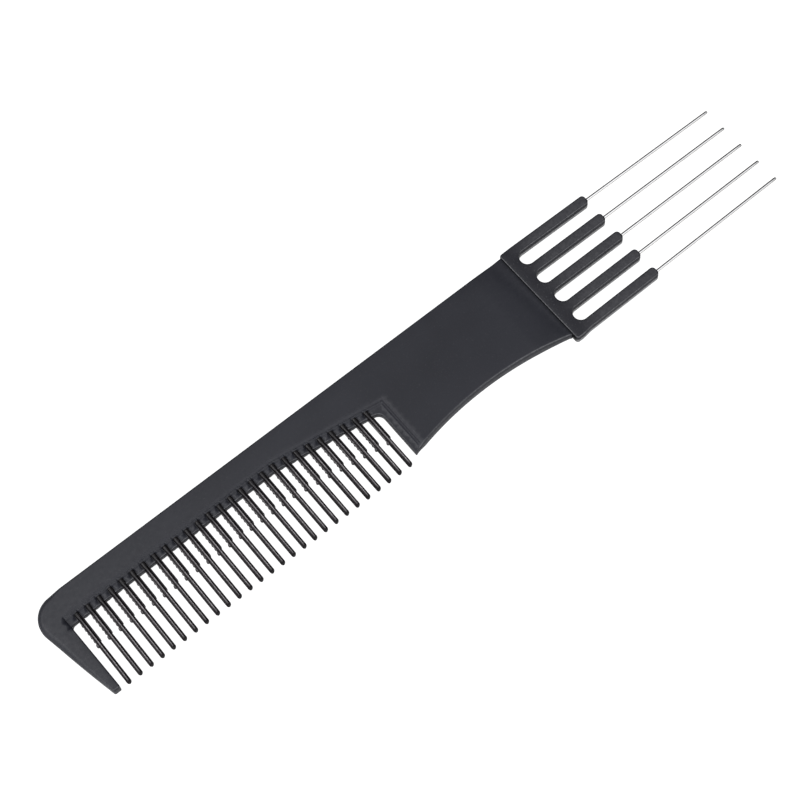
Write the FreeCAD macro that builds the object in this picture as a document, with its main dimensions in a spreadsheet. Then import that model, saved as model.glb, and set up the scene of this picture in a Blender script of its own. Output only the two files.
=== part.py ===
"""Pin tail comb: a moulded comb body, a moulded pick holder and five steel pins.

Millimetres. +X runs along the comb from the guard tooth to the pin tips, +Y points to the straight
back and +Z up. The comb lies flat: the origin is under the middle of it, on the table.
"""
import FreeCAD, Part
import math
import os

import Sketcher

# ---------------------------------------------------------------------------------------------
# Driving dimensions, in millimetres and degrees. Stations along X are measured from the head end.
# ---------------------------------------------------------------------------------------------
DIMENSIONS = {
    # comb body, seen from above
    "first_tooth": 8.62,        # head end to the axis of the first tooth
    "tooth_pitch": 3.11,
    "tooth_count": 27,
    "straight_teeth": 18,       # teeth up to where the root line starts to slope
    "end_gap": 2.72,            # last tooth axis to the end of the toothed opening
    "handle_length": 47.33,     # end of the toothed opening to the pick holder
    "back_level": 13.75,        # the back, above the middle line of the comb
    "head_radius": 6.1,
    "guard_tip_level": -13.98,
    "guard_width": 1.85,        # at its tip
    "guard_gap_root": 2.7,      # guard tooth to the first tooth's axis
    "guard_gap_tip": 2.25,
    "guard_tip_radius": 0.4,
    "root_start_level": 4.75,   # root line, at the guard tooth
    "root_bend_level": 5.1,     # root line, where it starts to slope
    "root_end_level": 1.02,     # root line, at the end of the opening
    "root_corner_small": 0.7,
    "root_corner_large": 1.9,
    "shoulder_level": -12.5,    # sharp corner under the toothed opening
    "handle_end_level": -12.8,  # lower edge of the grip at the pick holder
    "waist_radius": 91.3,
    # comb body, thickness; drops and sinks are measured from each flat face
    "body_thick": 3.3,
    "edge_round": 0.45,
    "neck_drop": 0.45,          # grip, where it meets the pick holder
    "neck_length": 9.0,
    "band_drop": 0.25,          # sunk band along the tooth roots
    "band_width": 2.5,
    "band_guard_share": 0.12,   # share of the band's width that runs into the guard tooth
    "slope_width": 2.1,         # web edge to where the band starts to slope
    "root_thick": 1.7,          # web between the teeth, at its thin edge
    # teeth
    "tooth_width": 1.08,
    "tooth_sink": 0.3,          # crest of the ridge, below the face
    "tooth_flank": 1.1,         # height of the flat flanks between the ridges
    "tooth_ridge": 0.44,        # width of the ridge
    "tooth_nose": 0.55,         # length of the narrowing tip
    "tip_start_level": -14.21,  # tip of the first tooth
    "tip_end_level": -13.85,    # tip of the last tooth
    "rib_bite": 0.4,            # how far a rib runs into the spine
    # gripping blade on the upper half of each tooth
    "blade_thick": 1.3,
    "blade_right": 0.79,        # smooth side, from the tooth's axis
    "blade_left": 0.6,          # side that carries the nubs
    "blade_length": 6.85,       # root line to the lower end of the blade
    "nub_count": 5,
    "nub_pitch": 1.18,
    "nub_radius": 0.3,
    "nub_offset": 0.47,         # nub centre, from the tooth's axis
    "bead_radius": 0.43,
    "bead_offset": 0.53,
    "bead_gap": 1.34,           # bead centre to the first nub
    "bead_depth": 7.45,         # root line to the bead's centre
    # pick holder
    "holder_sink": 0.25,        # its flat faces, below those of the comb body
    "holder_round": 0.4,
    "collar_top_level": 14.49,
    "collar_low_level": -14.55,
    "collar_radius": 0.8,
    "collar_lip": 2.0,          # length of the collar's full width
    "finger_root": 1.3,         # slot bottoms to where the lowest finger is free of the collar
    "slot_station": 3.27,       # collar front to the bottoms of the slots
    "holder_length": 26.32,     # collar front to the finger tips
    "finger_shift": 0.2,        # middle finger, above the middle line of the comb
    "finger_pitch": 6.54,       # at the slot bottoms
    "finger_width": 2.57,
    "finger_tip_radius": 0.95,
    "fan_angle": 0.32,          # each finger leans in from its neighbour
    # tang of the pick holder, inside the grip
    "tang_length": 11.0,
    "tang_width": 19.0,
    "tang_thick": 1.0,
    "tang_radius": 1.5,
    "lock_radius": 1.6,
    "lock_pitch": 6.2,
    "lock_station": 6.0,        # collar front to the lock holes
    # steel pins
    "pin_radius": 0.48,
    "pin_exposed": 39.13,
    "pin_embedded": 19.5,
    "anchor_radius": 0.36,      # waist of the anchor grooves
    "anchor_width": 0.9,
    "anchor_pitch": 2.4,
    "overrun": 0.5,             # how far a cut runs past the material
}
FINGER_COUNT = 5
LOCK_COUNT = 3
ANCHOR_COUNT = 3
FULL_ROUND = 0.96               # share of a half width that a full round takes, short of a sliver
NEAR = 1e-3                     # two lengths closer than this are the same

# Narrowing tip of a tooth: height above the tip as a share of the nose, then the shares of the
# tooth's width and thickness that are left at that height
TIP_SECTIONS = {
    "tooth_neck": (1, 1, 1),
    "tooth_shoulder": (0.3, 0.8, 0.85),
    "tooth_tip": (0, 0.4, 0.5),
}

document = FreeCAD.newDocument("pin_tail_comb")
sheet = document.addObject("Spreadsheet::Sheet", "Dims")
for row, (alias, value) in enumerate(DIMENSIONS.items(), start=1):
    sheet.set(f"A{row}", alias.replace("_", " "))
    sheet.set(f"B{row}", str(value))
    sheet.setAlias(f"B{row}", alias)
document.recompute()


def dim(alias):
    """Expression that reads one cell of the sheet."""
    return f"Dims.{alias}"


def read(expression):
    """Present value of an expression."""
    return float(sheet.evalExpression(expression))


# ---------------------------------------------------------------------------------------------
# Places shared by several pieces, as expressions on the sheet
# ---------------------------------------------------------------------------------------------
TEETH_SPAN = f"(({dim('tooth_count')} - 1) * {dim('tooth_pitch')})"
GAP_STATION = f"({dim('first_tooth')} + {TEETH_SPAN} + {dim('end_gap')})"
COLLAR_STATION = f"({GAP_STATION} + {dim('handle_length')})"
TOTAL_LENGTH = f"({COLLAR_STATION} + {dim('holder_length')} + {dim('pin_exposed')})"

HEAD_X = f"(-{TOTAL_LENGTH} / 2)"
TOOTH_X = f"({HEAD_X} + {dim('first_tooth')})"
BEND_X = f"({TOOTH_X} + {dim('straight_teeth')} * {dim('tooth_pitch')})"
GAP_X = f"({HEAD_X} + {GAP_STATION})"
COLLAR_X = f"({HEAD_X} + {COLLAR_STATION})"
SLOT_X = f"({COLLAR_X} + {dim('slot_station')})"
FINGER_REACH = f"({dim('holder_length')} - {dim('slot_station')})"
MIDDLE_Z = f"({dim('body_thick')} / 2)"      # also half the comb body's thickness
HOLDER_HALF = f"({MIDDLE_Z} - {dim('holder_sink')})"
GUARD_INNER_X = f"({TOOTH_X} - {dim('guard_gap_root')})"
ROOT_RISE = f"(({dim('root_bend_level')} - {dim('root_start_level')}) / ({BEND_X} - {GUARD_INNER_X}))"
ROOT_FALL = f"(({dim('root_end_level')} - {dim('root_bend_level')}) / ({GAP_X} - {BEND_X}))"
ROOT_AT_FIRST = f"({dim('root_start_level')} + {ROOT_RISE} * {dim('guard_gap_root')})"
WIDE = f"(4 * {dim('back_level')})"       # longer than the comb is wide


# ---------------------------------------------------------------------------------------------
# Sketching
# ---------------------------------------------------------------------------------------------
UPWARD = FreeCAD.Vector(0, 0, 1)


def vector(x, y):
    return FreeCAD.Vector(x, y, 0)


def corner(x, y, rounding="", centre_x="", bow="", side=1):
    """Corner of an outline. The edge that leaves it is an arc where `bow` gives a radius."""
    return {"x": x, "y": y, "rounding": rounding, "centre_x": centre_x, "bow": bow, "side": side}


def new_body(name):
    body = document.addObject("PartDesign::Body", name)
    body.Label = name
    return body


def new_sketch(body, name, role="XY_Plane", lift="0", along="0", across="0", turn="0"):
    """Sketch on an origin plane, lifted along its normal, shifted in the plane and turned."""
    sketch = body.newObject("Sketcher::SketchObject", f"{body.Name}_{name}")
    plane = [item for item in body.Origin.OriginFeatures if item.Role == role]
    sketch.AttachmentSupport = [(plane[0], "")]
    sketch.MapMode = "FlatFace"
    sketch.setExpression("AttachmentOffset.Base.x", along)
    sketch.setExpression("AttachmentOffset.Base.y", across)
    sketch.setExpression("AttachmentOffset.Base.z", lift)
    # a turn of one degree sets the axis; the expression then sets the angle about it
    axis = FreeCAD.Vector(0, 1, 0) if role == "YZ_Plane" else UPWARD
    sketch.AttachmentOffset = FreeCAD.Placement(FreeCAD.Vector(), FreeCAD.Rotation(axis, 1))
    sketch.setExpression("AttachmentOffset.Rotation.Angle", turn)
    return sketch


def constrain(sketch, *values, driven_by="", name=""):
    index = sketch.addConstraint(Sketcher.Constraint(*values))
    if driven_by:
        sketch.renameConstraint(index, name)
        sketch.setExpression(f"Constraints.{name}", driven_by)


def fix_point(sketch, geometry, position, x, y, name):
    """Ties a point of the sketch to two expressions."""
    if x:
        constrain(sketch, "DistanceX", -1, 1, geometry, position, read(x), driven_by=x, name=f"{name}_x")
    constrain(sketch, "DistanceY", -1, 1, geometry, position, read(y), driven_by=y, name=f"{name}_y")


def end_at(sketch, geometry, point):
    """1 when `point` is the start of an edge, 2 when it is its end."""
    to_start = sketch.getPoint(geometry, 1).distanceToPoint(point)
    to_end = sketch.getPoint(geometry, 2).distanceToPoint(point)
    return 1 if to_start < to_end else 2


def rounded_corner(before, at, after, radius):
    """Tangent points, centre and middle of the arc that rounds a corner."""
    back = (before - at).normalize()
    forth = (after - at).normalize()
    half_angle = back.getAngle(forth) / 2
    reach = radius / math.tan(half_angle)
    bisector = (back + forth).normalize()
    centre = at + bisector * (radius / math.sin(half_angle))
    return at + back * reach, at + forth * reach, centre, centre - bisector * radius


def bowed_edge(start, end, radius, side):
    """Arc from start to end whose centre lies `side` of the way: 1 left, -1 right."""
    chord = end - start
    middle = (start + end) / 2
    sagitta = radius - math.sqrt(radius ** 2 - (chord.Length / 2) ** 2)
    normal = vector(-chord.y, chord.x).normalize() * side
    return Part.Arc(start, middle - normal * sagitta, end)


def draw_outline(sketch, corners, prefix="corner"):
    """Closed outline through corners, each tied to the sheet, with tangent rounding arcs."""
    count = len(corners)
    places = [vector(read(item["x"] or "0"), read(item["y"])) for item in corners]
    for index, item in enumerate(corners):
        if item["centre_x"]:
            places[index] = leaning_corner(places, index, read(item["centre_x"]), read(item["rounding"]))
    entries, exits, middles = list(places), list(places), {}
    for index, item in enumerate(corners):
        if item["rounding"]:
            found = rounded_corner(places[index - 1], places[index], places[(index + 1) % count],
                                   read(item["rounding"]))
            entries[index], exits[index], _, middles[index] = found
    edges = []
    for index, item in enumerate(corners):
        start, end = exits[index], entries[(index + 1) % count]
        if item["bow"]:
            shape = bowed_edge(start, end, read(item["bow"]), item["side"])
        else:
            shape = Part.LineSegment(start, end)
        edges.append(sketch.addGeometry(shape, False))
        if item["bow"]:
            constrain(sketch, "Radius", edges[-1], read(item["bow"]),
                      driven_by=item["bow"], name=f"{prefix}{index}_bow")
    for index, item in enumerate(corners):
        name = f"{prefix}{index}"
        before, after = edges[index - 1], edges[index]
        if not item["rounding"]:
            leaving = end_at(sketch, after, places[index])
            constrain(sketch, "Coincident", before, end_at(sketch, before, places[index]), after, leaving)
            fix_point(sketch, after, leaving, item["x"], item["y"], name)
            continue
        arc = sketch.addGeometry(Part.Arc(entries[index], middles[index], exits[index]), False)
        for edge, point in ((before, entries[index]), (after, exits[index])):
            constrain(sketch, "Tangent", edge, end_at(sketch, edge, point), arc, end_at(sketch, arc, point))
        constrain(sketch, "Radius", arc, read(item["rounding"]),
                  driven_by=item["rounding"], name=f"{name}_radius")
        sharp = sketch.addGeometry(Part.Point(places[index]), True)
        for edge in (before, after):
            constrain(sketch, "PointOnObject", sharp, 1, edge)
        fix_point(sketch, sharp, 1, item["x"], item["y"], name)
        if item["centre_x"]:
            constrain(sketch, "DistanceX", -1, 1, arc, 3, read(item["centre_x"]),
                      driven_by=item["centre_x"], name=f"{name}_centre")


def leaning_corner(places, index, centre_x, radius):
    """Where the back meets the leaning side that is tangent to a round of known centre."""
    level = places[index].y
    foot = places[index + 1]
    centre = vector(centre_x, level - radius)
    reach = centre - foot
    lean = math.atan2(reach.x, reach.y) - math.asin(radius / reach.Length)
    return vector(foot.x + math.tan(lean) * (level - foot.y), level)


def draw_circle(sketch, x, y, radius, name):
    circle = sketch.addGeometry(Part.Circle(vector(read(x), read(y)), UPWARD, read(radius)), False)
    fix_point(sketch, circle, 3, x, y, name)
    constrain(sketch, "Radius", circle, read(radius), driven_by=radius, name=f"{name}_radius")


def draw_guide(sketch, run, rise, name):
    """Construction line from the origin that a pattern follows."""
    line = sketch.addGeometry(Part.LineSegment(vector(0, 0), vector(read(run), read(rise))), True)
    constrain(sketch, "Coincident", line, 1, -1, 1)
    fix_point(sketch, line, 2, run, rise, name)


# ---------------------------------------------------------------------------------------------
# Features
# ---------------------------------------------------------------------------------------------
def pad(body, sketch, length):
    """Pad on both sides of its sketch."""
    feature = body.newObject("PartDesign::Pad", f"{sketch.Name}_pad")
    feature.Profile = sketch
    feature.SideType = "Symmetric"
    feature.setExpression("Length", length)
    return feature


def cut(body, sketch, length, symmetric=True):
    """Pocket that must remove material, or the model is wrong."""
    document.recompute()
    before = body.Shape.Volume
    feature = body.newObject("PartDesign::Pocket", f"{sketch.Name}_cut")
    feature.Profile = sketch
    feature.SideType = "Symmetric" if symmetric else "One side"
    feature.setExpression("Length", length)
    document.recompute()
    if body.Shape.Volume >= before:
        raise ValueError(f"{feature.Name} cuts nothing")
    return feature


def repeat(body, features, sketch, length, count):
    """Copies features along the guide line of a sketch."""
    pattern = body.newObject("PartDesign::LinearPattern", f"{sketch.Name}_row")
    pattern.Originals = features
    pattern.Direction = (sketch, ["Axis0"])
    pattern.setExpression("Length", length)
    pattern.setExpression("Occurrences", count)
    body.Tip = pattern
    return pattern


def mirror(body, features, name):
    """Copies features to the other side of the middle plane."""
    pattern = body.newObject("PartDesign::Mirrored", f"{body.Name}_{name}")
    pattern.Originals = features
    plane = [item for item in body.Origin.OriginFeatures if item.Role == "XY_Plane"]
    pattern.MirrorPlane = (plane[0], [""])
    body.Tip = pattern
    return pattern


def dress(body, kind, size, name, wanted):
    """Fillet or chamfer of the edges that `wanted` picks."""
    document.recompute()
    base = body.Tip
    edges = [f"Edge{index}" for index, edge in enumerate(base.Shape.Edges, start=1) if wanted(edge)]
    feature = body.newObject(f"PartDesign::{kind}", f"{body.Name}_{name}")
    feature.Base = (base, edges)
    feature.setExpression("Radius" if kind == "Fillet" else "Size", size)
    return feature


def lies_flat(edge, level):
    """Whether an edge lies in one of the two planes at `level` above and below the middle."""
    box = edge.BoundBox
    return box.ZLength < NEAR and abs(abs(box.ZMin) - level) < NEAR


# ---------------------------------------------------------------------------------------------
# Comb body: spine, guard tooth, teeth and grip, one moulding
# ---------------------------------------------------------------------------------------------
def body_outline():
    """Spine, guard tooth and grip, without the teeth."""
    tip_outer = f"{TOOTH_X} - {dim('guard_gap_tip')} - {dim('guard_width')}"
    tip_inner = f"{TOOTH_X} - {dim('guard_gap_tip')}"
    return [
        corner(COLLAR_X, dim("back_level")),
        corner("", dim("back_level"), dim("head_radius"), centre_x=f"{HEAD_X} + {dim('head_radius')}"),
        corner(tip_outer, dim("guard_tip_level"), dim("guard_tip_radius")),
        corner(tip_inner, dim("guard_tip_level"), dim("guard_tip_radius")),
        corner(GUARD_INNER_X, dim("root_start_level"), dim("root_corner_small")),
        corner(BEND_X, dim("root_bend_level")),
        corner(GAP_X, dim("root_end_level"), dim("root_corner_large")),
        corner(GAP_X, dim("shoulder_level"), bow=dim("waist_radius"), side=-1),
        corner(COLLAR_X, dim("handle_end_level")),
    ]


def band_outline(inset):
    """Opening of the teeth, grown by `inset` into the spine, the grip and the guard tooth."""
    left = f"{GUARD_INNER_X} - {dim('band_guard_share')} * ({inset})"
    right = f"{GAP_X} + ({inset})"
    bottom = f"{dim('tip_start_level')} - {dim('band_width')}"
    start = f"{dim('root_start_level')} + ({inset}) * (1 - {ROOT_RISE} * {dim('band_guard_share')})"
    end = f"{dim('root_end_level')} + ({inset}) * (1 + {ROOT_FALL})"
    return [
        corner(left, bottom),
        corner(right, bottom),
        corner(right, end),
        corner(BEND_X, f"{dim('root_bend_level')} + ({inset})"),
        corner(left, start),
    ]


def add_root_band(body):
    """Sunk band round the opening, which then slopes down to the thin web, on both faces."""
    floor = f"({MIDDLE_Z} - {dim('band_drop')})"
    web = f"({dim('root_thick')} / 2)"
    slope = f"(({floor} - {web}) / {dim('slope_width')})"
    step = new_sketch(body, "band", lift=MIDDLE_Z)
    draw_outline(step, band_outline(dim("band_width")))
    sunk = cut(body, step, dim("band_drop"), symmetric=False)
    top = new_sketch(body, "slope_top", lift=floor)
    draw_outline(top, band_outline(dim("slope_width")))
    bottom = new_sketch(body, "slope_bottom", lift=f"{web} - {slope} * {dim('overrun')}")
    draw_outline(bottom, band_outline(f"-{dim('overrun')}"))
    slopes = body.newObject("PartDesign::SubtractiveLoft", f"{body.Name}_slopes")
    slopes.Profile = top
    slopes.Sections = [bottom]
    slopes.Ruled = True
    document.recompute()
    mirror(body, [sunk, slopes], "band_below")


def tooth_section(body, name, level, width_share=1, thick_share=1):
    """Eight-sided section of a tooth at a level, ridged on both faces."""
    side = f"({width_share} * {dim('tooth_width')} / 2)"
    ridge = f"({width_share} * {dim('tooth_ridge')} / 2)"
    flank = f"({thick_share} * {dim('tooth_flank')} / 2)"
    crest = f"({thick_share} * ({MIDDLE_Z} - {dim('tooth_sink')}))"
    sketch = new_sketch(body, name, role="XZ_Plane", along=TOOTH_X, lift=f"-({level})")
    draw_outline(sketch, [
        corner(f"-{side}", f"-{flank}"), corner(f"-{ridge}", f"-{crest}"),
        corner(ridge, f"-{crest}"), corner(side, f"-{flank}"),
        corner(side, flank), corner(ridge, crest),
        corner(f"-{ridge}", crest), corner(f"-{side}", flank),
    ])
    return sketch


def add_teeth(body):
    """Ridged teeth with narrowing tips, whose ribs run up over the web into the spine."""
    tip = dim("tip_start_level")
    rise = f"({dim('tip_end_level')} - {tip})"
    guide = new_sketch(body, "tooth_guide")
    draw_guide(guide, TEETH_SPAN, rise, "guide")
    tooth = body.newObject("PartDesign::AdditiveLoft", f"{body.Name}_tooth")
    top = f"{ROOT_AT_FIRST} + {dim('band_width')} + {dim('rib_bite')}"
    tooth.Profile = tooth_section(body, "tooth_top", top)
    tooth.Sections = [
        tooth_section(body, name, f"{tip} + {height} * {dim('tooth_nose')}", width_share, thick_share)
        for name, (height, width_share, thick_share) in TIP_SECTIONS.items()
    ]
    tooth.Ruled = True
    document.recompute()
    repeat(body, [tooth], guide, f"sqrt({TEETH_SPAN}^2 + {rise}^2)", dim("tooth_count"))


def blade_outline():
    """Blade with its lower end at the tooth's middle and a row of nubs up its left side."""
    left, right = f"-{dim('blade_left')}", dim("blade_right")
    reach = f"sqrt({dim('nub_radius')}^2 - ({dim('blade_left')} - {dim('nub_offset')})^2)"
    corners = [corner(left, f"-{dim('blade_length')}"), corner(right, f"-{dim('blade_length')}"),
               corner(right, dim("rib_bite")), corner(left, dim("rib_bite"))]
    for index in reversed(range(int(read(dim("nub_count"))))):
        centre = f"{dim('bead_gap')} - {dim('bead_depth')} + {index} * {dim('nub_pitch')}"
        corners += [corner(left, f"{centre} + {reach}", bow=dim("nub_radius")),
                    corner(left, f"{centre} - {reach}")]
    return corners


def add_blade_row(body, name, first_x, root_level, run, rise, count):
    """Thin blades with nubs and an end bead on the upper half of each tooth of a row."""
    sketch = new_sketch(body, f"{name}_blade", along=first_x, across=root_level)
    draw_guide(sketch, run, rise, "guide")
    draw_outline(sketch, blade_outline())
    draw_circle(sketch, f"-{dim('bead_offset')}", f"-{dim('bead_depth')}", dim("bead_radius"), "bead")
    blade = pad(body, sketch, dim("blade_thick"))
    repeat(body, [blade], sketch, f"sqrt(({run})^2 + ({rise})^2)", count)


def add_blades(body):
    """The blades follow the root line: a nearly level row, then a sloping row."""
    level_run = f"(({dim('straight_teeth')} - 1) * {dim('tooth_pitch')})"
    add_blade_row(body, "level", TOOTH_X, ROOT_AT_FIRST, level_run, f"({ROOT_RISE} * {level_run})",
                  dim("straight_teeth"))
    sloping = f"({dim('tooth_count')} - {dim('straight_teeth')})"
    slope_run = f"(({sloping} - 1) * {dim('tooth_pitch')})"
    add_blade_row(body, "sloping", BEND_X, dim("root_bend_level"), slope_run,
                  f"({ROOT_FALL} * {slope_run})", sloping)


def thin_neck(body):
    """Slopes that thin the grip towards the pick holder, on both faces."""
    sketch = new_sketch(body, "neck", role="XZ_Plane")
    start = f"{COLLAR_X} - {dim('neck_length')}"
    beyond = f"{COLLAR_X} + {dim('overrun')}"
    for sign, name in (("", "upper"), ("-", "lower")):
        face = f"{sign}{MIDDLE_Z}"
        neck = f"{sign}({MIDDLE_Z} - {dim('neck_drop')})"
        outside = f"{sign}({MIDDLE_Z} + {dim('overrun')})"
        draw_outline(sketch, [
            corner(start, face), corner(COLLAR_X, neck), corner(beyond, neck),
            corner(beyond, outside), corner(start, outside),
        ], prefix=name)
    cut(body, sketch, WIDE)


def tang_outline(reach):
    """Tang of the holder, from inside the collar into the grip."""
    half = f"({dim('tang_width')} / 2)"
    return [
        corner(f"{COLLAR_X} - {dim('tang_length')}", f"-{half}", dim("tang_radius")),
        corner(f"{COLLAR_X} + {reach}", f"-{half}"),
        corner(f"{COLLAR_X} + {reach}", half),
        corner(f"{COLLAR_X} - {dim('tang_length')}", half, dim("tang_radius")),
    ]


def draw_tang(sketch, reach):
    draw_outline(sketch, tang_outline(reach))
    for index in range(LOCK_COUNT):
        offset = f"{index - (LOCK_COUNT - 1) / 2} * {dim('lock_pitch')}"
        draw_circle(sketch, f"{COLLAR_X} - {dim('lock_station')}", offset, dim("lock_radius"), f"lock{index}")


def is_outer_edge(edge):
    """Outline of the plate, without the toothed opening and the end inside the holder."""
    box = edge.BoundBox
    in_opening = box.XMin > read(GUARD_INNER_X) - NEAR and box.XMax < read(GAP_X) + NEAR
    at_collar = box.XMin > read(COLLAR_X) - NEAR
    return lies_flat(edge, read(MIDDLE_Z)) and not in_opening and not at_collar


def make_comb_body():
    body = new_body("comb_body")
    plate = new_sketch(body, "plate")
    draw_outline(plate, body_outline())
    pad(body, plate, dim("body_thick"))
    dress(body, "Fillet", dim("edge_round"), "edge", is_outer_edge)
    thin_neck(body)
    socket = new_sketch(body, "socket")
    draw_tang(socket, dim("collar_lip"))
    cut(body, socket, dim("tang_thick"))
    add_root_band(body)
    add_teeth(body)
    add_blades(body)
    body.setExpression("Placement.Base.z", MIDDLE_Z)
    return body


# ---------------------------------------------------------------------------------------------
# Pick holder: collar, five fingers and tang, one moulding
# ---------------------------------------------------------------------------------------------
def finger_level(index):
    """Expression for a finger's axis at the slot bottoms, the back one first."""
    return f"({dim('finger_shift')} + {(FINGER_COUNT - 1) / 2 - index} * {dim('finger_pitch')})"


def finger_turn(index):
    """Expression for a finger's lean about +Z."""
    return f"({index - (FINGER_COUNT - 1) / 2} * {dim('fan_angle')})"


def finger_point(index, along, across):
    """A place on a finger as two expressions: along its axis from the slots, and across it."""
    turn = finger_turn(index)
    return (f"{SLOT_X} + {along} * cos({turn}) - ({across}) * sin({turn})",
            f"{finger_level(index)} + {along} * sin({turn}) + ({across}) * cos({turn})")


def holder_outline():
    """Collar, then round the fingers from the lowest to the highest."""
    half = f"{dim('finger_width')} / 2"
    slot_radius = f"{FULL_ROUND} * ({dim('finger_pitch')} - {dim('finger_width')}) / 2"
    last = FINGER_COUNT - 1
    corners = [
        corner(COLLAR_X, dim("collar_top_level"), dim("collar_radius")),
        corner(COLLAR_X, dim("collar_low_level"), dim("collar_radius")),
        corner(f"{COLLAR_X} + {dim('collar_lip')}", dim("collar_low_level")),
        corner(*finger_point(last, dim("finger_root"), f"-{half}")),
    ]
    for index in reversed(range(FINGER_COUNT)):
        for side in (f"-{half}", half):
            corners.append(corner(*finger_point(index, FINGER_REACH, side), dim("finger_tip_radius")))
        if index:
            corners.append(corner(*finger_point(index, "0", half), slot_radius))
            corners.append(corner(*finger_point(index - 1, "0", f"-{half}"), slot_radius))
    return corners + [corner(*finger_point(0, "0", half))]


def add_bores(body):
    """Blind bore along each finger for its pin's root."""
    for index in range(FINGER_COUNT):
        x, y = finger_point(index, FINGER_REACH, "0")
        sketch = new_sketch(body, f"bore{index + 1}", role="YZ_Plane", lift=x, along=y,
                            turn=finger_turn(index))
        draw_circle(sketch, "0", "0", dim("pin_radius"), "bore")
        cut(body, sketch, dim("pin_embedded"), symmetric=False)


def make_pick_holder():
    body = new_body("pick_holder")
    fork = new_sketch(body, "fork")
    draw_outline(fork, holder_outline())
    pad(body, fork, f"2 * {HOLDER_HALF}")
    dress(body, "Fillet", dim("holder_round"), "edge", lambda edge: lies_flat(edge, read(HOLDER_HALF)))
    tang = new_sketch(body, "tang")
    draw_tang(tang, dim("collar_lip"))
    pad(body, tang, dim("tang_thick"))
    add_bores(body)
    body.setExpression("Placement.Base.z", MIDDLE_Z)
    return body


# ---------------------------------------------------------------------------------------------
# Pins
# ---------------------------------------------------------------------------------------------
def pin_profile():
    """Half section of a pin: its axis is X, and X = 0 is where it leaves the finger."""
    radius = dim("pin_radius")
    waist = dim("anchor_radius")
    root = f"-{dim('pin_embedded')}"
    corners = [corner(root, "0"), corner(dim("pin_exposed"), "0"),
               corner(dim("pin_exposed"), radius, f"{FULL_ROUND} * {radius}")]
    for index in reversed(range(ANCHOR_COUNT)):
        near = f"{root} + {index + 1} * {dim('anchor_pitch')}"
        far = f"{near} - {dim('anchor_width')}"
        corners += [corner(near, radius), corner(near, waist), corner(far, waist), corner(far, radius)]
    return corners + [corner(root, radius)]


def make_pin(index):
    body = new_body(f"pick_pin_{index + 1}")
    sketch = new_sketch(body, "profile")
    draw_outline(sketch, pin_profile())
    turned = body.newObject("PartDesign::Revolution", f"{body.Name}_turned")
    turned.Profile = sketch
    turned.ReferenceAxis = (sketch, ["H_Axis"])
    turned.Angle = 360
    x, y = finger_point(index, FINGER_REACH, "0")
    # a turn of one degree sets the axis; the expression then sets the angle about it
    body.Placement = FreeCAD.Placement(FreeCAD.Vector(), FreeCAD.Rotation(UPWARD, 1))
    body.setExpression("Placement.Base.x", x)
    body.setExpression("Placement.Base.y", y)
    body.setExpression("Placement.Base.z", MIDDLE_Z)
    body.setExpression("Placement.Rotation.Angle", finger_turn(index))
    return body


# ---------------------------------------------------------------------------------------------
# Checks and export
# ---------------------------------------------------------------------------------------------
def check(bodies):
    for item in document.Objects:
        if "Invalid" in item.State or "Error" in item.State:
            raise ValueError(f"{item.Name} failed: {item.State}")
        if item.TypeId == "Sketcher::SketchObject" and item.solve() != 0:
            raise ValueError(f"{item.Name} does not solve")
    for body in bodies:
        if body.Shape.isNull() or not body.Shape.isValid() or len(body.Shape.Solids) != 1:
            raise ValueError(f"{body.Label} is not one valid solid")


def main():
    bodies = [make_comb_body(), make_pick_holder()]
    bodies += [make_pin(index) for index in range(FINGER_COUNT)]
    document.recompute()
    check(bodies)
    os.makedirs("parts", exist_ok=True)
    for body in bodies:
        body.Shape.exportStep(f"parts/{body.Label}.step")
        box = body.Shape.optimalBoundingBox()
        print(f"{body.Label}: {body.Shape.Volume:.1f} mm3, {len(body.Shape.Faces)} faces, "
              f"x {box.XMin:.2f}..{box.XMax:.2f}, y {box.YMin:.2f}..{box.YMax:.2f}, "
              f"z {box.ZMin:.2f}..{box.ZMax:.2f}")


main()
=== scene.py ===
# %% [markdown]
# # A pin tail comb
#
# The comb is three kinds of piece: a dark moulded comb body with a toothed head and a waisted
# grip, a dark moulded holder whose five slim fingers form a fork, and five straight steel pins.
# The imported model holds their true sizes, so it is loaded first and every length below is tied to
# it.

# %% Load the frame
import math

import bpy
import numpy as np
from mathutils import Matrix, Vector
from mathutils.geometry import delaunay_2d_cdt


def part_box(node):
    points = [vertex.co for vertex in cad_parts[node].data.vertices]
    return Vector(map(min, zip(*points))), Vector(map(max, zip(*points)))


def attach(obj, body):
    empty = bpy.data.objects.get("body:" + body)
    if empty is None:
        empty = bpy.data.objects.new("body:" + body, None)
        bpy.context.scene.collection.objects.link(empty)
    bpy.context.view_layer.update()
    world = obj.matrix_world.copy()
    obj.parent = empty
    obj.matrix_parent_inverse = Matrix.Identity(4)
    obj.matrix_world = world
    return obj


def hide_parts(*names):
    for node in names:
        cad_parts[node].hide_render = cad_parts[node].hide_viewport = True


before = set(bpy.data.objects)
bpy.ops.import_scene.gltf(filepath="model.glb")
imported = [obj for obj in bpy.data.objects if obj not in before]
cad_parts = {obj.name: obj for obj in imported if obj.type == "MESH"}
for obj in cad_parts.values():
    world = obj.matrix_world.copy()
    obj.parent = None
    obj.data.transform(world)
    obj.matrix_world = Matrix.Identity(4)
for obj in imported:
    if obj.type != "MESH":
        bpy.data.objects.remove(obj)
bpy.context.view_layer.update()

print("nodes:", sorted(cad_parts))

# %% [markdown]
# ## Stations
#
# Lengths are in millimetres, because a comb is drawn in them, and each mesh is scaled to metres
# when it is made. The ends of the pieces come from the frame. The layout between them is the
# maker's drawing: a pitch, a count, and a few levels above and below the middle line of the comb.

# %% Stations along and across the comb
MM = 0.001
body_low, body_high = (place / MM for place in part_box("comb_body"))
holder_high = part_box("pick_holder")[1] / MM
pin_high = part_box("pick_pin_3")[1] / MM

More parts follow.
